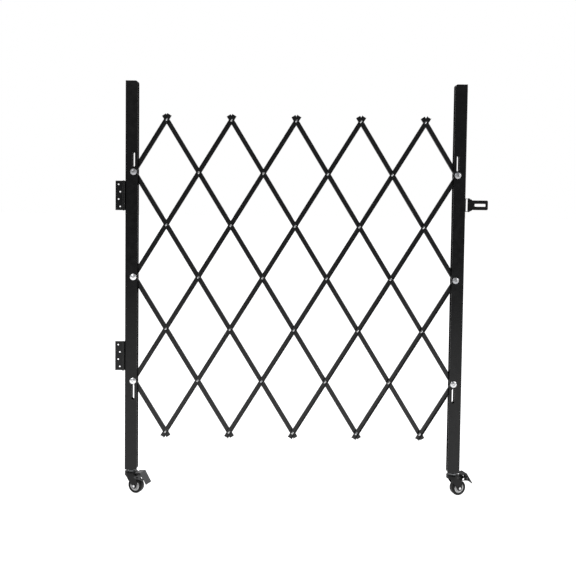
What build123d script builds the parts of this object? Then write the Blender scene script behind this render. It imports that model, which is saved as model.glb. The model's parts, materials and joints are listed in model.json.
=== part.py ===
from build123d import *

import os
from math import cos, radians, sin, tan

# An expandable safety barrier. Two channel posts stand on braked casters and carry a lattice of
# riveted channel strips between them. The left post hangs on two butt hinges, whose wall leaves
# are screwed to a wall, and the right post carries a slotted hasp for a padlock.
# Millimetres. Z is the line of the hinge pins and Z = 0 the floor. X runs along the barrier from
# the hinges to the hasp, and the front faces -Y.

# Lattice, opened out as it stands
rivet_pitch = 210
strip_angle = 31.6
folded_angle = 5.2
bay_count = 5
tier_count = 3
strip_width = 16
strip_depth = 8
strip_wall = 1.5
strip_bend = 2.5
strip_overhang = 19.5
layer_gap = 0.3

# Lattice rivets
rivet_radius = 3
rivet_head_radius = 5
rivet_head_height = 2.2

# Posts
post_length = 1332
post_width = 42
post_depth = 25
post_wall = 1.5
post_bend = 2.5
post_top_corner_radius = 8
post_foot_corner_radius = 3
bolt_inset = 28
middle_bolt_height = 667
foot_plate_thickness = 5

# Post bolts, with their nuts and spacers
bolt_radius = 4
bolt_head_radius = 10.8
bolt_head_rim = 1.6
bolt_head_height = 5
socket_radius = 4
socket_depth = 3
bolt_thread_end = 2
nut_radius = 7.5
nut_height = 6.5
nut_flange_radius = 9.5
nut_flange_height = 1.5
spacer_radius = 10
slot_end_room = 1.5

# Clearances
turning_clearance = 0.1
shaft_clearance = 0.05
sliding_clearance = 0.5
face_gap = 0.3
overrun = 4

# Butt hinges
leaf_height = 100
leaf_reach = 28
leaf_thickness = 2
leaf_corner_radius = 1
knuckle_radius = 4.5
knuckle_count = 5
knuckle_gap = 0.4
hinge_pin_radius = 2.5
hinge_pin_head_radius = 3.6
hinge_pin_head_height = 1.6
upper_leaf_height = 975
lower_leaf_height = 427
leaf_hole_count = 4
leaf_hole_pitch = 25
leaf_hole_radius = 2.6
leaf_hole_outer = 18
leaf_hole_inner = 12.5
leaf_sink_angle = 90
leaf_screw_radius = 2.4
leaf_screw_length = 10
screw_recess_length = 4.6
screw_recess_width = 1
screw_recess_depth = 1.3

# Hasp
hasp_height = 1006
hasp_bracket_height = 45
hasp_bracket_depth = 19
hasp_bracket_wall = 2
hasp_standoff = 13.5
hasp_ear_radius = 5
hasp_pin_radius = 2
hasp_pin_head_radius = 3.4
hasp_pin_head_height = 1.4
hasp_curl_radius = 3.8
hasp_strap_thickness = 2
hasp_strap_height = 33
hasp_strap_reach = 65
hasp_strap_corner = 4.5
hasp_shoulder = 4
hasp_slot_length = 37.5
hasp_slot_height = 9.5
hasp_slot_corner = 3
hasp_slot_end_wall = 8

# Casters
caster_height = 81
wheel_radius = 26.5
wheel_width = 22
tyre_thickness = 9
tyre_edge_radius = 4
trail = 20
left_swivel_angle = -21
right_swivel_angle = 18
head_radius = 22.5
head_top = 74
head_depth = 12
head_edge_radius = 3.5
fork_wall = 2
fork_gap = 1.5
axle_eye_radius = 9
stem_radius = 5
stem_rise = 6
stem_collar_radius = 13
stem_collar_height = 2.7
stem_foot_radius = 8
stem_foot_height = 3
axle_radius = 3
axle_head_radius = 4.6
axle_head_height = 3
axle_nut_radius = 6
axle_nut_height = 4.5
hub_boss_radius = 8
hub_face_recess = 1.5
hub_groove_width = 5
hub_groove_depth = 2

# Outline of the fork's cheek in shares of the head's radius and height: its front edge from the
# head down to the axle eye, and its rear edge from the eye up round the pedal's pin
fork_front_shares = [(-0.76, 0.95), (-0.76, 0.82)]
fork_curve_shares = [(-0.42, 0.72), (-0.22, 0.62), (0.08, 0.51)]
fork_rear_shares = [(1.34, 0.50), (1.30, 0.78), (1.18, 0.86), (0.80, 0.87), (0.74, 0.95)]

# Brake pedals, seen from the side: reach behind the swivel axis, and height
pedal_pin_reach = 24.5
pedal_pin_height = 57.5
pedal_heel_reach = 25
pedal_heel_height = 74
pedal_crown_reach = 46.5
pedal_crown_height = 76.5
pedal_tip_reach = 70
pedal_tip_height = 39
pedal_brow_share = 0.2
pedal_knee_share = 0.62
pedal_arm_near_reach = 33
pedal_arm_near_height = 53
pedal_arm_far_reach = 54
pedal_arm_far_height = 50
pedal_tongue_share = 0.6
pedal_tongue_reach = 33
pedal_tongue_height = 53.5
pedal_tongue_width = 12
pedal_sheet = 1.8
pedal_pin_radius = 2
pedal_eye_radius = 3.6
pedal_near_window_reach = 33
pedal_near_window_height = 58
pedal_near_window_radius = 3.4
pedal_far_window_reach = 49
pedal_far_window_height = 58.5
pedal_far_window_radius = 4.3

# Places that follow from the sizes above
row_count = 2 * tier_count
column_count = 2 * bay_count
middle_row = tier_count
cell_half_width = rivet_pitch * sin(radians(strip_angle))
cell_half_height = rivet_pitch * cos(radians(strip_angle))
front_y = knuckle_radius
middle_y = front_y + post_depth / 2
back_y = front_y + post_depth
left_outer_x = knuckle_radius
left_bolt_x = left_outer_x + bolt_inset
right_bolt_x = left_bolt_x + column_count * cell_half_width
right_outer_x = right_bolt_x + bolt_inset
middle_bolt_z = caster_height + middle_bolt_height
inner_depth = post_depth - 2 * post_wall
lattice_depth = layer_gap + 2 * strip_depth
leaf_sink_radius = leaf_screw_radius + leaf_thickness * tan(radians(leaf_sink_angle / 2))


def finish(piece, name):
    """Names a finished sub-part and writes it to its own file."""
    piece.label = name
    export_step(piece, f"parts/{name}.step")


def pivot(row, column):
    """The place of a lattice pivot on the middle plane, in half cells from the top left corner."""
    return (left_bolt_x + column * cell_half_width, middle_y, middle_bolt_z + (middle_row - row) * cell_half_height)


def facing_front(x, y, z):
    """A plane at a point, looking out of the front of the barrier, with X kept."""
    return Plane(origin=(x, y, z), x_dir=(1, 0, 0), z_dir=(0, -1, 0))


def upright_through(plane):
    """The plane that shares the x axis of another and has the other's normal as its y axis."""
    return Plane(origin=plane.origin, x_dir=plane.x_dir, z_dir=-plane.y_dir)


def double_headed_pin(radius, low, high, head_radius, head_height):
    """A round shank along Z with a domed head at each end, whose flat sides are at low and high."""
    with BuildPart() as pin:
        with BuildSketch(Plane.XZ):
            with BuildLine():
                TangentArc((0, high + head_height), (head_radius, high), tangent=(1, 0))
                Polyline((head_radius, high), (radius, high), (radius, low), (head_radius, low))
                TangentArc((0, low - head_height), (head_radius, low), tangent=(1, 0))
                Line((0, low - head_height), (0, high + head_height))
            make_face()
        revolve(axis=Axis.Z)
    return pin.part


def lattice_runs():
    """Row, column and number of segments of each strip that falls from the left edge or the top."""
    starts = [(row, 0) for row in range(1, row_count, 2)]
    starts += [(0, column) for column in range(1, column_count, 2)]
    return [(row, column, min(row_count - row, column_count - column)) for row, column in starts]


def lattice_strip(row, column, steps, fall, outward, hole_radii):
    """A channel strip from a first pivot, falling to the right if fall is 1 and rising if -1."""
    x, y, z = pivot(row, column)
    along = (sin(radians(strip_angle)), 0, -fall * cos(radians(strip_angle)))
    web = Plane(origin=(x, y + outward * layer_gap / 2, z), x_dir=along, z_dir=(0, outward, 0))
    length = steps * rivet_pitch + 2 * strip_overhang
    end = Plane(origin=web.from_local_coords((-strip_overhang, 0, 0)), x_dir=web.y_dir, z_dir=along)
    with BuildPart() as strip:
        with BuildSketch(end):
            with BuildLine():
                FilletPolyline(
                    (-strip_width / 2, strip_depth),
                    (-strip_width / 2, 0),
                    (strip_width / 2, 0),
                    (strip_width / 2, strip_depth),
                    radius=strip_bend,
                )
                offset(amount=strip_wall, side=Side.LEFT)
            make_face()
        extrude(amount=length)
        with BuildSketch(web):
            for step, radius in enumerate(hole_radii):
                with Locations((step * rivet_pitch, 0)):
                    Circle(radius)
        extrude(amount=strip_depth, both=True, mode=Mode.SUBTRACT)
    return strip.part


def lattice():
    """Strips that fall to the right make the back layer and their mirror images the front layer.
    Each front strip carries its rivets, and the sliding post bolts at its ends."""
    rivet = double_headed_pin(
        rivet_radius,
        -layer_gap / 2 - strip_wall - face_gap,
        layer_gap / 2 + strip_wall,
        rivet_head_radius,
        rivet_head_height,
    )
    for number, (row, column, steps) in enumerate(lattice_runs(), start=1):
        stops = [(row + step, column + step) for step in range(steps + 1)]
        on_post = [stop_column in (0, column_count) for _, stop_column in stops]

        loose_radii = [(bolt_radius if post else rivet_radius) + turning_clearance for post in on_post]
        finish(lattice_strip(row, column, steps, 1, 1, loose_radii), f"strip_back_{number}")

        # The front strip is the back strip turned over, so its rows count from the bottom
        front_stops = [(row_count - stop_row, stop_column) for stop_row, stop_column in stops]
        front_radii = []
        rivet_places = []
        for (stop_row, stop_column), post in zip(front_stops, on_post):
            if not post:
                front_radii.append(rivet_radius)
                rivet_places.append(facing_front(*pivot(stop_row, stop_column)))
            elif stop_row == middle_row:
                front_radii.append(bolt_radius + turning_clearance)
            else:
                front_radii.append(bolt_radius)
                side = "left" if stop_column == 0 else "right"
                level = "top" if stop_row < middle_row else "bottom"
                post_bolt(f"{side}_{level}", stop_row, stop_column, face_gap, 0)
        finish(lattice_strip(row_count - row, column, steps, -1, -1, front_radii), f"strip_front_{number}")

        with BuildPart() as rivets:
            with Locations(*rivet_places):
                add(rivet)
        finish(rivets.part, f"rivets_front_{number}")


def post_bolt(place, row, column, post_gap, front_gap):
    """A socket bolt through both flanges of a post, with a flange nut behind, and two spacers
    that centre the lattice. A sliding bolt keeps post_gap from the post."""
    x, _, z = pivot(row, column)
    seat = facing_front(x, front_y - post_gap, z)
    grip = post_depth + 2 * post_gap
    with BuildPart() as bolt:
        with BuildSketch(upright_through(seat)):
            with BuildLine():
                TangentArc((0, bolt_head_height), (bolt_head_radius, bolt_head_rim), tangent=(1, 0))
                Polyline(
                    (bolt_head_radius, bolt_head_rim),
                    (bolt_head_radius, 0),
                    (bolt_radius, 0),
                    (bolt_radius, -grip - nut_height - bolt_thread_end),
                    (0, -grip - nut_height - bolt_thread_end),
                    (0, bolt_head_height),
                )
            make_face()
        revolve(axis=Axis(seat.origin, seat.z_dir))
        with BuildSketch(seat.offset(bolt_head_height)):
            RegularPolygon(radius=socket_radius, side_count=6)
        extrude(amount=-socket_depth, mode=Mode.SUBTRACT)
        with BuildSketch(seat.offset(-grip)):
            Circle(nut_flange_radius)
            Circle(bolt_radius + shaft_clearance, mode=Mode.SUBTRACT)
        extrude(amount=-nut_flange_height)
        with BuildSketch(seat.offset(-grip)):
            RegularPolygon(radius=nut_radius, side_count=6)
            Circle(bolt_radius + shaft_clearance, mode=Mode.SUBTRACT)
        extrude(amount=-nut_height)
    finish(bolt.part, f"{place}_bolt_and_nut")

    with BuildPart() as spacers:
        for near, far in (
            (-inner_depth / 2 + post_gap, -lattice_depth / 2 - front_gap),
            (lattice_depth / 2 + face_gap, inner_depth / 2 - post_gap),
        ):
            with BuildSketch(facing_front(x, middle_y + far, z)):
                Circle(spacer_radius)
                Circle(bolt_radius, mode=Mode.SUBTRACT)
            extrude(amount=far - near)
    finish(spacers.part, f"{place}_spacers")


def post(name, outer_x, inward, leaf_heights):
    """A channel post, open towards the lattice, with its slots, bolt holes and welded foot plate.
    Inward is 1 where the lattice lies on the +X side of the post and -1 where it lies on the other."""
    foot = Plane(origin=(outer_x, middle_y, caster_height), x_dir=(inward, 0, 0), z_dir=(0, 0, 1))
    front = Plane(origin=(outer_x, middle_y, 0), x_dir=(inward, 0, 0), z_dir=(0, -inward, 0))
    with BuildPart() as channel:
        with BuildSketch(foot):
            with BuildLine():
                FilletPolyline(
                    (post_width, post_depth / 2),
                    (0, post_depth / 2),
                    (0, -post_depth / 2),
                    (post_width, -post_depth / 2),
                    radius=post_bend,
                )
                offset(amount=post_wall, side=Side.LEFT)
            make_face()
        extrude(amount=post_length)

        # Free corners of both flanges are rounded, those at the top more than those at the foot
        for end, radius in ((slice(2, 4), post_top_corner_radius), (slice(0, 2), post_foot_corner_radius)):
            crosswise = channel.edges().filter_by(Axis.Y).sort_by(lambda edge: inward * edge.center().X)
            fillet(crosswise[-4:].sort_by(Axis.Z)[end], radius=radius)

        with BuildSketch(foot):
            with Locations((post_width / 2, 0)):
                Rectangle(post_width - 2 * post_wall, inner_depth)
                Circle(stem_radius, mode=Mode.SUBTRACT)
        extrude(amount=foot_plate_thickness)

        with BuildSketch(front):
            for row in range(1, row_count, 2):
                rest_z = pivot(row, 0)[2]
                rise = (middle_row - row) * rivet_pitch * (cos(radians(folded_angle)) - cos(radians(strip_angle)))
                if row == middle_row:
                    with Locations((bolt_inset, rest_z)):
                        Circle(bolt_radius)
                else:
                    with Locations((bolt_inset, rest_z + rise / 2)):
                        SlotCenterToCenter(
                            abs(rise) + 2 * slot_end_room,
                            2 * (bolt_radius + sliding_clearance),
                            rotation=90,
                        )
        extrude(amount=post_depth, both=True, mode=Mode.SUBTRACT)

        # Screw holes for the hinge leaves, through the outer face
        for leaf_height_z in leaf_heights:
            with BuildSketch(post_leaf_plane(leaf_height_z).offset(-knuckle_radius)):
                with Locations(*leaf_hole_places()):
                    Circle(leaf_screw_radius)
            extrude(amount=post_width / 2, both=True, mode=Mode.SUBTRACT)
    finish(channel.part, name)


def leaf_hole_places():
    """Screw holes of a leaf in its own plane, staggered about its middle, the first on top."""
    top = leaf_hole_pitch * (leaf_hole_count - 1) / 2
    reaches = [leaf_hole_inner if hole % 2 else leaf_hole_outer for hole in range(leaf_hole_count)]
    return [(-reach, top - hole * leaf_hole_pitch) for hole, reach in enumerate(reaches)]


def wall_leaf_plane(height):
    """The plane of the pin of a wall leaf, at mid height: the leaf reaches along -x, its back to -z."""
    return Plane(origin=(0, 0, height + leaf_height / 2), x_dir=(1, 0, 0), z_dir=(0, -1, 0))


def post_leaf_plane(height):
    """The same for a post leaf, which reaches back along the outer face of the post."""
    return Plane(origin=(0, 0, height + leaf_height / 2), x_dir=(0, -1, 0), z_dir=(-1, 0, 0))


def hinge_leaf(name, face, first_knuckle, bore):
    """A leaf with the knuckles that it owns, rolled to the front so that its back stays flat."""
    pitch = leaf_height / knuckle_count
    plate_reach = leaf_reach - knuckle_radius - knuckle_gap
    back = face.offset(-knuckle_radius)
    with BuildPart() as leaf:
        with BuildSketch(back) as plate:
            with Locations((-leaf_reach + plate_reach / 2, 0)):
                Rectangle(plate_reach, leaf_height)
            fillet(plate.vertices().group_by(Axis.X)[0], radius=leaf_corner_radius)
        extrude(amount=leaf_thickness)
        for knuckle in range(first_knuckle, knuckle_count, 2):
            middle = (knuckle + 0.5) * pitch - leaf_height / 2
            section = Plane(
                origin=face.from_local_coords((0, middle, 0)), x_dir=face.x_dir, z_dir=face.y_dir
            )
            with BuildSketch(section):
                Circle(knuckle_radius)
                with Locations((-(leaf_reach - plate_reach) / 2, knuckle_radius - leaf_thickness / 2)):
                    Rectangle(leaf_reach - plate_reach, leaf_thickness)
                Circle(bore, mode=Mode.SUBTRACT)
            extrude(amount=(pitch - knuckle_gap) / 2, both=True)
        with Locations(back.offset(leaf_thickness)):
            with Locations(*leaf_hole_places()):
                CounterSinkHole(
                    leaf_hole_radius,
                    leaf_sink_radius,
                    depth=leaf_thickness + overrun,
                    counter_sink_angle=leaf_sink_angle,
                )
    finish(leaf.part, name)


def hinges():
    """Both butt hinges: wall leaves with the outer knuckles and the pins, post leaves between."""
    for level, height in (("upper", upper_leaf_height), ("lower", lower_leaf_height)):
        hinge_leaf(f"{level}_wall_leaf", wall_leaf_plane(height), 0, hinge_pin_radius)
        hinge_leaf(f"{level}_post_leaf", post_leaf_plane(height), 1, hinge_pin_radius + shaft_clearance)

    pin = double_headed_pin(
        hinge_pin_radius,
        knuckle_gap / 2,
        leaf_height - knuckle_gap / 2,
        hinge_pin_head_radius,
        hinge_pin_head_height,
    )
    with BuildPart() as pins:
        with Locations((0, 0, upper_leaf_height), (0, 0, lower_leaf_height)):
            add(pin)
    finish(pins.part, "hinge_pins")

    with BuildPart() as screws:
        for height in (upper_leaf_height, lower_leaf_height):
            heads = post_leaf_plane(height).offset(leaf_thickness - knuckle_radius)
            with BuildSketch(heads):
                with Locations(*leaf_hole_places()):
                    Circle(leaf_screw_radius)
            extrude(amount=-leaf_screw_length)
            with BuildSketch(heads):
                with Locations(*leaf_hole_places()):
                    Circle(leaf_sink_radius)
            extrude(amount=-leaf_thickness, taper=leaf_sink_angle / 2)
            with BuildSketch(heads):
                with Locations(*leaf_hole_places()):
                    Rectangle(screw_recess_length, screw_recess_width)
                    Rectangle(screw_recess_width, screw_recess_length)
            extrude(amount=-screw_recess_depth, mode=Mode.SUBTRACT)
    finish(screws.part, "post_leaf_screws")


def hasp():
    """A bracket on the outer face of the right post, its pin, and the slotted strap on the pin."""
    pin_x = right_outer_x + hasp_standoff
    arm_offset = hasp_bracket_height / 2 - hasp_bracket_wall
    with BuildPart() as bracket:
        with BuildSketch(Plane.YZ.offset(right_outer_x)):
            with Locations((middle_y, hasp_height)):
                Rectangle(hasp_bracket_depth, hasp_bracket_height)
        extrude(amount=hasp_bracket_wall)
        for arm in (arm_offset, -hasp_bracket_height / 2):
            with BuildSketch(Plane.XY.offset(hasp_height + arm)):
                with Locations((right_outer_x + hasp_standoff / 2, middle_y)):
                    Rectangle(hasp_standoff, 2 * hasp_ear_radius)
                with Locations((pin_x, middle_y)):
                    Circle(hasp_ear_radius)
                    Circle(hasp_pin_radius, mode=Mode.SUBTRACT)
            extrude(amount=hasp_bracket_wall)
    finish(bracket.part, "hasp_bracket")

    with BuildPart() as pin:
        with Locations((pin_x, middle_y, hasp_height)):
            add(
                double_headed_pin(
                    hasp_pin_radius,
                    -hasp_bracket_height / 2,
                    hasp_bracket_height / 2,
                    hasp_pin_head_radius,
                    hasp_pin_head_height,
                )
            )
    finish(pin.part, "hasp_pin")

    curl_height = 2 * (arm_offset - face_gap)
    strap_front = Plane(origin=(pin_x, middle_y - hasp_curl_radius, hasp_height), x_dir=(1, 0, 0), z_dir=(0, -1, 0))
    slot_middle = hasp_strap_reach - hasp_slot_end_wall - hasp_slot_length / 2
    with BuildPart() as strap:
        with BuildSketch(strap_front) as plate:
            with BuildLine():
                Polyline(
                    (0, curl_height / 2),
                    (hasp_curl_radius + hasp_shoulder, curl_height / 2),
                    (hasp_curl_radius + 2 * hasp_shoulder, hasp_strap_height / 2),
                    (hasp_strap_reach, hasp_strap_height / 2),
                    (hasp_strap_reach, -hasp_strap_height / 2),
                    (hasp_curl_radius + 2 * hasp_shoulder, -hasp_strap_height / 2),
                    (hasp_curl_radius + hasp_shoulder, -curl_height / 2),
                    (0, -curl_height / 2),
                    close=True,
                )
            make_face()
            fillet(plate.vertices().group_by(Axis.X)[-1], radius=hasp_strap_corner)
            with Locations((slot_middle, 0)):
                RectangleRounded(hasp_slot_length, hasp_slot_height, hasp_slot_corner, mode=Mode.SUBTRACT)
        extrude(amount=-hasp_strap_thickness)
        with BuildSketch(Plane(origin=(pin_x, middle_y, hasp_height), z_dir=(0, 0, 1))):
            Circle(hasp_curl_radius)
        extrude(amount=curl_height / 2, both=True)
        with BuildSketch(Plane(origin=(pin_x, middle_y, hasp_height), z_dir=(0, 0, 1))):
            Circle(hasp_pin_radius + shaft_clearance)
        extrude(amount=curl_height, both=True, mode=Mode.SUBTRACT)
    finish(strap.part, "hasp_strap")


def caster(side, axis_x, swivel_angle):
    """A braked swivel caster, whose wheel trails along the local x axis of its frame."""
    turn = radians(swivel_angle)
    floor = Plane(origin=(axis_x, middle_y, 0), x_dir=(cos(turn), sin(turn), 0), z_dir=(0, 0, 1))
    # Side view of the caster: x along the trail, y up, looking out of its near side
    profile = upright_through(floor)
    axle = Axis(floor.from_local_coords((trail, 0, wheel_radius)), profile.z_dir)
    swivel = Axis(floor.origin, floor.z_dir)
    cheek_inner = wheel_width / 2 + fork_gap
    cheek_outer = cheek_inner + fork_wall

    with BuildPart() as stem:
        with BuildSketch(profile):
            with BuildLine():
                foot_top = head_top - fork_wall - face_gap
                collar_base = head_top + face_gap
                stem_top = caster_height + foot_plate_thickness + stem_rise
                Polyline(
                    (0, foot_top - stem_foot_height),
                    (stem_foot_radius, foot_top - stem_foot_height),
                    (stem_foot_radius, foot_top),
                    (stem_radius, foot_top),
                    (stem_radius, collar_base),
                    (stem_collar_radius, collar_base),
                    (stem_collar_radius, collar_base + stem_collar_height),
                    (stem_radius, collar_base + stem_collar_height),
                    (stem_radius, stem_top),
                    (0, stem_top),
                    close=True,
                )
            make_face()
        revolve(axis=swivel)
    finish(stem.part, f"{side}_caster_stem")

    with BuildPart() as fork:
        with BuildSketch(floor.offset(head_top)):
            Circle(head_radius)
        extrude(amount=-head_depth)
        fillet(fork.faces().sort_by(Axis.Z)[-1].edges(), radius=head_edge_radius)
        with BuildSketch(floor.offset(head_top - fork_wall)):
            Circle(head_radius - fork_wall)
        extrude(amount=-head_depth, mode=Mode.SUBTRACT)
        for near in (cheek_inner, -cheek_outer):
            with BuildSketch(profile.offset(near)):
                with BuildLine():
                    front = [(x * head_radius, z * head_top) for x, z in fork_front_shares]
                    curve = [(x * head_radius, z * head_top) for x, z in fork_curve_shares]
                    rear = [(x * head_radius, z * head_top) for x, z in fork_rear_shares]
                    Polyline(*front)
                    Spline(front[-1], *curve, (trail - axle_eye_radius, wheel_radius))
                    ThreePointArc(
                        (trail - axle_eye_radius, wheel_radius),
                        (trail, wheel_radius - axle_eye_radius),
                        (trail + axle_eye_radius, wheel_radius),
                    )
                    Polyline((trail + axle_eye_radius, wheel_radius), *rear, front[0])
                make_face()
            extrude(amount=fork_wall)
        with BuildSketch(profile):
            with Locations((trail, wheel_radius)):
                Circle(axle_radius)
            with Locations((pedal_pin_reach, pedal_pin_height)):
                Circle(pedal_pin_radius + turning_clearance)
        extrude(amount=wheel_width, both=True, mode=Mode.SUBTRACT)
        with BuildSketch(floor.offset(head_top + overrun)):
            Circle(stem_radius + shaft_clearance)
        extrude(amount=-head_depth - overrun, mode=Mode.SUBTRACT)
    finish(fork.part, f"{side}_caster_fork")

    hub_radius = wheel_radius - tyre_thickness
    with BuildPart() as tyre:
        with BuildSketch(profile.offset(-wheel_width / 2)):
            with Locations((trail, wheel_radius)):
                Circle(wheel_radius)
        extrude(amount=wheel_width)
        fillet(tyre.edges().filter_by(GeomType.CIRCLE), radius=tyre_edge_radius)
        with BuildSketch(profile):
            with Locations((trail, wheel_radius)):
                Circle(hub_radius)
        extrude(amount=wheel_width, both=True, mode=Mode.SUBTRACT)
    finish(tyre.part, f"{side}_tyre")

    with BuildPart() as hub:
        with BuildSketch(profile):
            with Locations((trail, wheel_radius)):
                Circle(hub_radius)
        extrude(amount=wheel_width / 2 - hub_face_recess, both=True)
        with BuildSketch(profile):
            with Locations((trail, wheel_radius)):
                Circle(hub_boss_radius)
        extrude(amount=cheek_inner - face_gap, both=True)
        for face in (wheel_width / 2 - hub_face_recess, hub_face_recess + hub_groove_depth - wheel_width / 2):
            with BuildSketch(profile.offset(face)):
                with Locations((trail, wheel_radius)):
                    Circle(hub_boss_radius + hub_groove_width)
                    Circle(hub_boss_radius, mode=Mode.SUBTRACT)
            extrude(amount=-hub_groove_depth, mode=Mode.SUBTRACT)
        with BuildSketch(profile):
            with Locations((trail, wheel_radius)):
                Circle(axle_radius + shaft_clearance)
        extrude(amount=wheel_width, both=True, mode=Mode.SUBTRACT)
    finish(hub.part, f"{side}_wheel_hub")

    with BuildPart() as axle_set:
        with BuildSketch(profile.offset(cheek_outer)) as head:
            with Locations((trail, wheel_radius)):
                RegularPolygon(radius=axle_head_radius, side_count=6)
        extrude(amount=axle_head_height)
        with BuildSketch(profile.offset(cheek_outer)):
            with Locations((trail, wheel_radius)):
                Circle(axle_radius)
        extrude(amount=-2 * cheek_outer - axle_nut_height)
        with BuildSketch(profile.offset(-cheek_outer)):
            with Locations((trail, wheel_radius)):
                RegularPolygon(radius=axle_nut_radius, side_count=6)
                Circle(axle_radius + shaft_clearance, mode=Mode.SUBTRACT)
        extrude(amount=-axle_nut_height)
    finish(axle_set.part, f"{side}_axle_bolt_and_nut")

    brake_pedal(side, profile, cheek_outer)


def brake_pedal(side, profile, fork_half_width):
    """A bent tread on two arms outside the fork, a tongue that is pressed on the tyre, and the pin
    that turns in the fork."""
    pin = (pedal_pin_reach, pedal_pin_height)
    heel = (pedal_heel_reach, pedal_heel_height)
    crown = (pedal_crown_reach, pedal_crown_height)
    tip = (pedal_tip_reach, pedal_tip_height)
    brow = tuple(top + pedal_brow_share * (low - top) for top, low in zip(crown, tip))
    knee = tuple(top + pedal_knee_share * (low - top) for top, low in zip(crown, tip))
    arm_near = (pedal_arm_near_reach, pedal_arm_near_height)
    arm_far = (pedal_arm_far_reach, pedal_arm_far_height)
    tongue_root = tuple(back + pedal_tongue_share * (front - back) for back, front in zip(heel, crown))
    tongue_tip = (pedal_tongue_reach, pedal_tongue_height)
    arm_inner = fork_half_width + face_gap
    arm_outer = arm_inner + pedal_sheet
    with BuildPart() as pedal:
        with BuildSketch(profile):
            with BuildLine():
                Polyline(heel, crown, tip)
                offset(amount=pedal_sheet, side=Side.RIGHT)
            make_face()
        extrude(amount=arm_outer, both=True)
        with BuildSketch(profile):
            with BuildLine():
                Polyline(tongue_root, tongue_tip)
                offset(amount=pedal_sheet, side=Side.LEFT)
            make_face()
        extrude(amount=pedal_tongue_width / 2, both=True)
        for near in (arm_inner, -arm_outer):
            with BuildSketch(profile.offset(near)):
                with BuildLine():
                    Polyline(
                        (pedal_pin_reach, pedal_pin_height + pedal_eye_radius),
                        brow,
                        knee,
                        arm_far,
                        arm_near,
                        (pedal_pin_reach, pedal_pin_height - pedal_eye_radius),
                        close=True,
                    )
                make_face()
                with Locations(pin):
                    Circle(pedal_eye_radius)
                with Locations((pedal_near_window_reach, pedal_near_window_height)):
                    Circle(pedal_near_window_radius, mode=Mode.SUBTRACT)
                with Locations((pedal_far_window_reach, pedal_far_window_height)):
                    Circle(pedal_far_window_radius, mode=Mode.SUBTRACT)
            extrude(amount=pedal_sheet)
        with BuildSketch(profile):
            with Locations(pin):
                Circle(pedal_pin_radius)
        extrude(amount=arm_outer, both=True)
    finish(pedal.part, f"{side}_brake_pedal")


os.makedirs("parts", exist_ok=True)

lattice()
post("left_post", left_outer_x, 1, (upper_leaf_height, lower_leaf_height))
post("right_post", right_outer_x, -1, ())
post_bolt("left_middle", middle_row, 0, 0, face_gap)
post_bolt("right_middle", middle_row, column_count, 0, face_gap)
hinges()
hasp()
caster("left", left_outer_x + post_width / 2, left_swivel_angle)
caster("right", right_outer_x - post_width / 2, right_swivel_angle)
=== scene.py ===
import json
import math

import bpy
from mathutils import Matrix, Vector


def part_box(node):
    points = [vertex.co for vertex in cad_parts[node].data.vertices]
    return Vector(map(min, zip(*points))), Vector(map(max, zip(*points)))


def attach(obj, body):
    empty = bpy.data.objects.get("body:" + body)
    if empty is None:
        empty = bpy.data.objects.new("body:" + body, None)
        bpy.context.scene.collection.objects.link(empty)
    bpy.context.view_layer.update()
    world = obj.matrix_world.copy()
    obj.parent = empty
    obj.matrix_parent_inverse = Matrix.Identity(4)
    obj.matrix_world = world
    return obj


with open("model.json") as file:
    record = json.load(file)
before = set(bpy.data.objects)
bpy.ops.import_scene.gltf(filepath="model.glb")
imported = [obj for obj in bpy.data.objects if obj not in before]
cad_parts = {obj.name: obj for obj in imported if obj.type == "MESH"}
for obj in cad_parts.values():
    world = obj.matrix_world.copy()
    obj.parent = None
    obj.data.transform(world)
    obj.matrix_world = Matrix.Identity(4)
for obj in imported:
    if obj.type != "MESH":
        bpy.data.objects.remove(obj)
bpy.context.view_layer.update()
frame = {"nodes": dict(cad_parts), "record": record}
nodes = frame["nodes"]

# The photograph's width and height, in pixels
picture_size = 576

# Noise keeps mostly to this middle part of its range from 0 to 1
noise_low, noise_high = 0.3, 0.7


# Materials. noise, ramp, span and bump add nodes to a tree and return the socket that the next one reads.


def new_material(name, colour, roughness, metallic, specular=0.5):
    """A material of one Principled shader, with its node tree and that shader."""
    material = bpy.data.materials.new(name)
    material.use_nodes = True
    tree = material.node_tree
    shader = tree.nodes["Principled BSDF"]
    shader.inputs["Base Color"].default_value = (*colour, 1)
    shader.inputs["Roughness"].default_value = roughness
    shader.inputs["Metallic"].default_value = metallic
    shader.inputs["Specular IOR Level"].default_value = specular
    return material, tree, shader


def noise(tree, grain, detail, stretch=None):
    """Noise over the object's own coordinates, in grains per metre."""
    where = tree.nodes.new("ShaderNodeTexCoord").outputs["Object"]
    if stretch:
        mapping = tree.nodes.new("ShaderNodeMapping")
        mapping.inputs["Scale"].default_value = stretch
        tree.links.new(where, mapping.inputs["Vector"])
        where = mapping.outputs["Vector"]
    texture = tree.nodes.new("ShaderNodeTexNoise")
    texture.inputs["Scale"].default_value = grain
    texture.inputs["Detail"].default_value = detail
    texture.inputs["Roughness"].default_value = 0.55
    tree.links.new(where, texture.inputs["Vector"])
    return texture.outputs["Fac"]


def ramp(tree, value, stops):
    """A colour ramp over a value: stops are (position, colour)."""
    node = tree.nodes.new("ShaderNodeValToRGB")
    elements = node.color_ramp.elements
    elements[0].position, elements[0].color = stops[0][0], (*stops[0][1], 1)
    elements[1].position, elements[1].color = stops[-1][0], (*stops[-1][1], 1)
    for position, colour in stops[1:-1]:
        elements.new(position).color = (*colour, 1)
    tree.links.new(value, node.inputs["Fac"])
    return node.outputs["Color"]


def span(tree, value, low, high):
    """Noise brought into a range."""
    node = tree.nodes.new("ShaderNodeMapRange")
    node.inputs["From Min"].default_value = noise_low
    node.inputs["From Max"].default_value = noise_high
    node.inputs["To Min"].default_value = low
    node.inputs["To Max"].default_value = high
    tree.links.new(value, node.inputs["Value"])
    return node.outputs["Result"]


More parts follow.
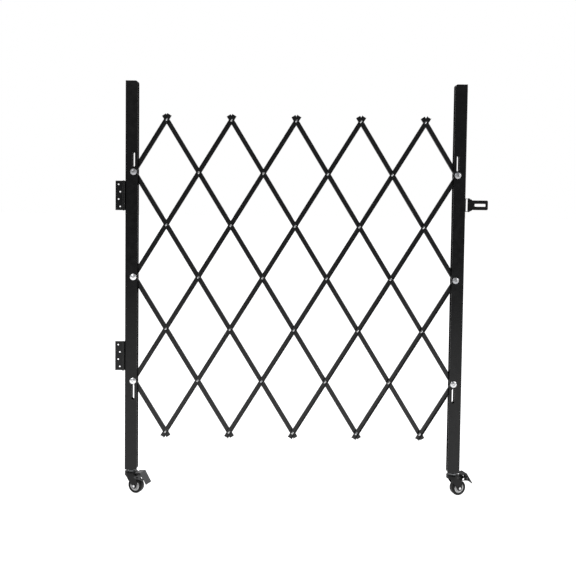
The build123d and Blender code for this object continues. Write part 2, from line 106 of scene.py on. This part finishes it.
def bump(tree, shader, height, depth, strength, under=None):
    """Relief of a given depth in metres, over the relief under it."""
    node = tree.nodes.new("ShaderNodeBump")
    node.inputs["Strength"].default_value = strength
    node.inputs["Distance"].default_value = depth
    tree.links.new(height, node.inputs["Height"])
    if under:
        tree.links.new(under, node.inputs["Normal"])
    tree.links.new(node.outputs["Normal"], shader.inputs["Normal"])
    return node.outputs["Normal"]


def paint(tree, shader, colour, sheen):
    """Gives a shader its colour and its roughness."""
    tree.links.new(colour, shader.inputs["Base Color"])
    tree.links.new(sheen, shader.inputs["Roughness"])


def powder_coat(name, colour, roughness, specular, speck=0.35):
    """Powder coat: clouds in its colour and sheen, over an orange peel and a fine texture."""
    material, tree, shader = new_material(name, colour, roughness, metallic=0.0, specular=specular)
    dark = tuple(c * (1 - speck) for c in colour)
    light = tuple(c * (1 + speck) for c in colour)
    cloud = ramp(tree, noise(tree, grain=14, detail=4), [(noise_low, dark), (noise_high, light)])
    sheen = span(tree, noise(tree, grain=60, detail=3), low=roughness - 0.06, high=roughness + 0.07)
    paint(tree, shader, cloud, sheen)
    peel = bump(tree, shader, noise(tree, grain=900, detail=2), depth=0.00012, strength=0.35)
    bump(tree, shader, noise(tree, grain=2600, detail=2), depth=0.00005, strength=0.25, under=peel)
    return material


def zinc(name, colour, roughness):
    """Zinc plate: bright, a little uneven, with a fine grain."""
    material, tree, shader = new_material(name, colour, roughness, metallic=1.0)
    cool = (colour[0] * 0.93, colour[1] * 0.97, colour[2])
    warm = (colour[0], colour[1] * 0.98, colour[2] * 0.93)
    patches = ramp(tree, noise(tree, grain=160, detail=4), [(0.32, cool), (0.5, colour), (0.68, warm)])
    sheen = span(tree, noise(tree, grain=420, detail=5), low=roughness - 0.07, high=roughness + 0.1)
    paint(tree, shader, patches, sheen)
    streaks = noise(tree, grain=2200, detail=2, stretch=(1, 1, 0.2))
    bump(tree, shader, streaks, depth=0.00003, strength=0.3)
    return material


def rubber(name, colour, clean, worn, dusty):
    """Dull rubber with a fine moulded grain and a trace of dust."""
    material, tree, shader = new_material(name, colour, roughness=0.5, metallic=0.0, specular=0.2)
    dust = ramp(tree, noise(tree, grain=90, detail=5), [(0.35, clean), (0.62, worn), (0.8, dusty)])
    sheen = span(tree, noise(tree, grain=200, detail=3), low=0.42, high=0.6)
    paint(tree, shader, dust, sheen)
    bump(tree, shader, noise(tree, grain=1500, detail=3), depth=0.0001, strength=0.4)
    return material


def moulding(name, colour, roughness, specular=0.5):
    """Moulded plastic with a faint mottle and sheen."""
    material, tree, shader = new_material(name, colour, roughness, metallic=0.0, specular=specular)
    low = tuple(c * 0.92 for c in colour)
    mottle = ramp(tree, noise(tree, grain=120, detail=4), [(noise_low, low), (noise_high, colour)])
    sheen = span(tree, noise(tree, grain=300, detail=2), low=roughness - 0.08, high=roughness + 0.08)
    paint(tree, shader, mottle, sheen)
    bump(tree, shader, noise(tree, grain=1800, detail=2), depth=0.00004, strength=0.3)
    return material


# What each material slot of the record looks like
looks = {
    "post": powder_coat("post_coat", (0.0026, 0.0026, 0.0028), roughness=0.27, specular=0.31),
    "strip": powder_coat("strip_coat", (0.0035, 0.0035, 0.0037), roughness=0.30, specular=0.42),
    "hinge_leaf": powder_coat("hinge_coat", (0.0028, 0.0028, 0.003), roughness=0.32, specular=0.33),
    "hasp": powder_coat("hasp_coat", (0.003, 0.003, 0.0032), roughness=0.32, specular=0.3),
    "caster_fork": powder_coat("fork_coat", (0.003, 0.003, 0.0032), roughness=0.3, specular=0.23),
    "rivet": zinc("rivet_zinc", (0.62, 0.62, 0.62), roughness=0.32),
    "bolt": zinc("bolt_zinc", (0.66, 0.66, 0.67), roughness=0.3),
    "caster_stem": zinc("stem_zinc", (0.42, 0.43, 0.44), roughness=0.4),
    "hinge_pin": powder_coat("pin_coat", (0.004, 0.004, 0.0043), roughness=0.4, specular=0.3),
    "spacer": moulding("spacer_plastic", (0.03, 0.03, 0.03), roughness=0.5),
    "tyre": rubber(
        "tyre_rubber",
        (0.01, 0.01, 0.01),
        clean=(0.006, 0.006, 0.006),
        worn=(0.01, 0.01, 0.0095),
        dusty=(0.022, 0.021, 0.019),
    ),
    "wheel_hub": moulding("hub_plastic", (0.9, 0.9, 0.89), roughness=0.3, specular=1.0),
    "brake_pedal": powder_coat("pedal_coat", (0.07, 0.07, 0.071), roughness=0.4, specular=0.4, speck=0.12),
}

# Painted light: the post bolts get a lighter and a darker copy of the zinc, which paint the brighter and
# dimmer reflections on their heads, and the right pedal gets a darker copy of the pedal coat, which paints
# the shade on its side
# A lighter copy of the bolt zinc: a painted highlight on the heads it is given to
bolt_with_painted_glint = zinc("bolt_zinc_painted_glint", (0.86, 0.86, 0.87), roughness=0.28)
# A darker copy of the bolt zinc: painted shade on the heads it is given to
bolt_with_painted_shade = zinc("bolt_zinc_painted_shade", (0.42, 0.42, 0.43), roughness=0.42)
# A darker copy of the pedal coat: painted shade on the right pedal, whose side faces away from the light
pedal_with_painted_shade = powder_coat(
    "pedal_coat_painted_shade", (0.008, 0.008, 0.0082), roughness=0.5, specular=0.12, speck=0.12
)
finishes = {
    "left_middle_bolt_and_nut": bolt_with_painted_glint,
    "left_bottom_bolt_and_nut": bolt_with_painted_glint,
    "left_top_bolt_and_nut": bolt_with_painted_shade,
    "right_top_bolt_and_nut": bolt_with_painted_shade,
    "right_middle_bolt_and_nut": bolt_with_painted_shade,
    "right_brake_pedal": pedal_with_painted_shade,
}
for part in frame["record"]["subparts"]:
    mesh = nodes[part["node"]].data
    mesh.materials.clear()
    mesh.materials.append(finishes.get(part["node"], looks[part["material_slot"]]))


# Washers on the hinge pins, in the gaps between the knuckles. The pins stand on the Z axis.
knuckle_count = 5
washer_inner, washer_outer, washer_thickness = 0.00265, 0.0043, 0.0003
washer_sides = 40


def washer_stack(name, heights):
    """A washer at each height, in one mesh."""
    under, over = -washer_thickness / 2, washer_thickness / 2
    section = [(washer_inner, under), (washer_outer, under), (washer_outer, over), (washer_inner, over)]
    corners = len(section)
    vertices, faces = [], []
    for height in heights:
        first = len(vertices)
        for side in range(washer_sides):
            angle = 2 * math.pi * side / washer_sides
            for radius, rise in section:
                vertices.append((radius * math.cos(angle), radius * math.sin(angle), height + rise))
        for side in range(washer_sides):
            here = first + corners * side
            there = first + corners * ((side + 1) % washer_sides)
            for corner in range(corners):
                after = (corner + 1) % corners
                faces.append((here + corner, there + corner, there + after, here + after))
    mesh = bpy.data.meshes.new(name)
    mesh.from_pydata(vertices, [], faces)
    mesh.materials.append(looks["spacer"])
    piece = bpy.data.objects.new(name, mesh)
    bpy.context.scene.collection.objects.link(piece)
    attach(piece, "wall")


for level in ("upper", "lower"):
    bottom, top = (corner.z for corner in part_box(f"{level}_wall_leaf"))
    pitch = (top - bottom) / knuckle_count
    washer_stack(f"{level}_hinge_washers", [bottom + gap * pitch for gap in range(1, knuckle_count)])


# Floor and backdrop. Both are white for the camera. Gloss mirrors the white backdrop behind the object
# and the floor up to a little in front of it, and beyond that a dimmer studio.


def larger(tree, first, second):
    """The larger of two values."""
    node = tree.nodes.new("ShaderNodeMath")
    node.operation = "MAXIMUM"
    tree.links.new(first, node.inputs[0])
    tree.links.new(second, node.inputs[1])
    return node.outputs[0]


def white_when_seen(tree, behind_from, behind_to):
    """1 where the camera sees the surface. For gloss 0 to 1 between two places, or directions, along Y."""
    path = tree.nodes.new("ShaderNodeLightPath")
    axes = tree.nodes.new("ShaderNodeSeparateXYZ")
    tree.links.new(tree.nodes.new("ShaderNodeTexCoord").outputs["Object"], axes.inputs[0])
    behind = tree.nodes.new("ShaderNodeMapRange")
    behind.interpolation_type = "SMOOTHSTEP"
    behind.inputs["From Min"].default_value = behind_from
    behind.inputs["From Max"].default_value = behind_to
    tree.links.new(axes.outputs["Y"], behind.inputs["Value"])
    mirrored = tree.nodes.new("ShaderNodeMath")
    mirrored.operation = "MULTIPLY"
    tree.links.new(behind.outputs["Result"], mirrored.inputs[0])
    tree.links.new(path.outputs["Is Glossy Ray"], mirrored.inputs[1])
    seen = larger(tree, path.outputs["Is Camera Ray"], path.outputs["Is Transmission Ray"])
    return larger(tree, seen, mirrored.outputs[0])


white = (1, 1, 1, 1)
studio_tint = (0.95, 0.97, 1.0, 1)
studio_strength = 0.3
floor_grey = (0.7, 0.7, 0.7, 1)
floor_reach = 60.0

world = bpy.data.worlds.new("studio")
bpy.context.scene.world = world
world.use_nodes = True
tree = world.node_tree
tree.nodes.clear()
lit = tree.nodes.new("ShaderNodeBackground")
lit.inputs["Color"].default_value = studio_tint
lit.inputs["Strength"].default_value = studio_strength
seen = tree.nodes.new("ShaderNodeBackground")
seen.inputs["Color"].default_value = white
seen.inputs["Strength"].default_value = 1.0
mix = tree.nodes.new("ShaderNodeMixShader")
tree.links.new(white_when_seen(tree, behind_from=-0.15, behind_to=0.15), mix.inputs["Fac"])
tree.links.new(lit.outputs[0], mix.inputs[1])
tree.links.new(seen.outputs[0], mix.inputs[2])
out = tree.nodes.new("ShaderNodeOutputWorld")
tree.links.new(mix.outputs[0], out.inputs["Surface"])

floor_mesh = bpy.data.meshes.new("floor")
floor_corners = [(floor_reach * x, floor_reach * y, 0) for x, y in ((-1, -1), (1, -1), (1, 1), (-1, 1))]
floor_mesh.from_pydata(floor_corners, [], [(0, 1, 2, 3)])
floor = bpy.data.objects.new("floor", floor_mesh)
bpy.context.scene.collection.objects.link(floor)
floor_material = bpy.data.materials.new("floor")
floor_material.use_nodes = True
tree = floor_material.node_tree
tree.nodes.clear()
matt = tree.nodes.new("ShaderNodeBsdfDiffuse")
matt.inputs["Color"].default_value = floor_grey
glow = tree.nodes.new("ShaderNodeEmission")
glow.inputs["Color"].default_value = white
tree.links.new(white_when_seen(tree, behind_from=-6.0, behind_to=-1.6), glow.inputs["Strength"])
both = tree.nodes.new("ShaderNodeAddShader")
tree.links.new(matt.outputs[0], both.inputs[0])
tree.links.new(glow.outputs[0], both.inputs[1])
out = tree.nodes.new("ShaderNodeOutputMaterial")
tree.links.new(both.outputs[0], out.inputs["Surface"])
floor_mesh.materials.append(floor_material)


# Lamps


def softbox(name, place, target, size, power):
    """A rectangular lamp, turned towards a target."""
    lamp = bpy.data.lights.new(name, "AREA")
    lamp.shape = "RECTANGLE"
    lamp.size, lamp.size_y = size
    lamp.energy = power
    thing = bpy.data.objects.new(name, lamp)
    thing.location = place
    thing.rotation_mode = "QUATERNION"
    thing.rotation_quaternion = (Vector(target) - Vector(place)).to_track_quat("-Z", "Y")
    bpy.context.scene.collection.objects.link(thing)


softbox("key", place=(-1.6, -2.6, 3.0), target=(0.58, 0, 0.7), size=(1.6, 1.6), power=30)
softbox("fill", place=(3.6, -1.6, 2.0), target=(0.58, 0, 0.5), size=(1.6, 1.6), power=36)
softbox("back", place=(0.6, 2.4, 2.6), target=(0.58, 0, 0.7), size=(2.4, 1.2), power=20)


# Camera, fitted to the photograph's rivets and bolts. Its height follows from how little of the slots'
# back edges shows, and the picture is cut from below the middle of its view.
focal_pixels = 745.0
middle_row = 236.66
eye_x, eye_y, eye_z = 0.55486, -2.5294, 1.0000
yaw, pitch, roll = (math.radians(v) for v in (-0.090, -2.451, -0.692))
camera = bpy.data.cameras.new("camera")
camera.sensor_fit = "HORIZONTAL"
camera.sensor_width = 36.0
camera.lens = focal_pixels / picture_size * camera.sensor_width
camera.shift_y = (middle_row - picture_size / 2) / picture_size
camera.clip_start, camera.clip_end = 0.05, 200
eye = bpy.data.objects.new("camera", camera)
turn = Matrix.Rotation(yaw, 3, "Z") @ Matrix.Rotation(pitch, 3, "X") @ Matrix.Rotation(roll, 3, "Y")
right, ahead, up = (turn.col[0], turn.col[1], turn.col[2])
eye.matrix_world = Matrix(
    (
        (right[0], up[0], -ahead[0], eye_x),
        (right[1], up[1], -ahead[1], eye_y),
        (right[2], up[2], -ahead[2], eye_z),
        (0, 0, 0, 1),
    )
)
bpy.context.scene.collection.objects.link(eye)
bpy.context.scene.camera = eye
bpy.context.scene.view_settings.view_transform = "Standard"
